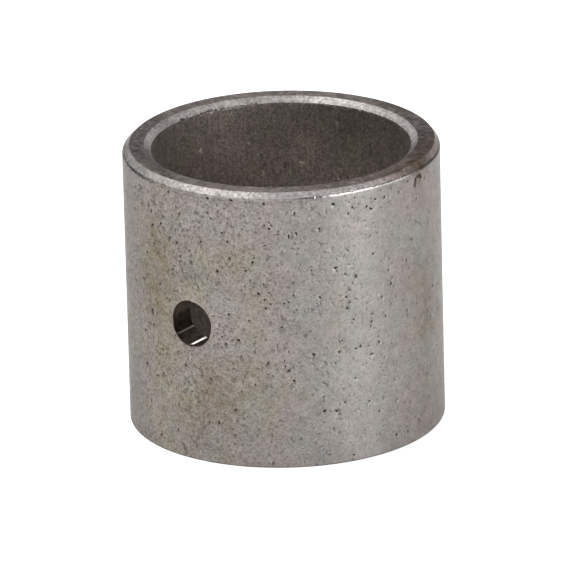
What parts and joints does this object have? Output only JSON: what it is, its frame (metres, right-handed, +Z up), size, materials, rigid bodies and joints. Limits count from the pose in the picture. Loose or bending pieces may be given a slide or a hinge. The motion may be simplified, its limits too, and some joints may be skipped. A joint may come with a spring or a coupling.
{
  "type": "sleeve bushing",
  "caption": "Plain cylindrical sleeve bushing with chamfered mouths and an oil hole through its wall, for a shaft that turns or rocks in a housing.",
  "frame": {"origin": "centre of the lower end face, on the axis of the bore", "axes": "+Z up along the bore's axis, towards the end with the lead-in chamfer; -Y through the middle of the oil hole; +X to the right when the oil hole faces the viewer"},
  "size_m": [0.035, 0.035, 0.0318],
  "materials": {
    "bearing_metal": "satin grey bearing metal with fine dark pores, brighter on the freshly cut chamfers"
  },
  "bodies": {
    "root": {"bushing_sleeve": "bearing_metal"}
  },
  "joints": []
}
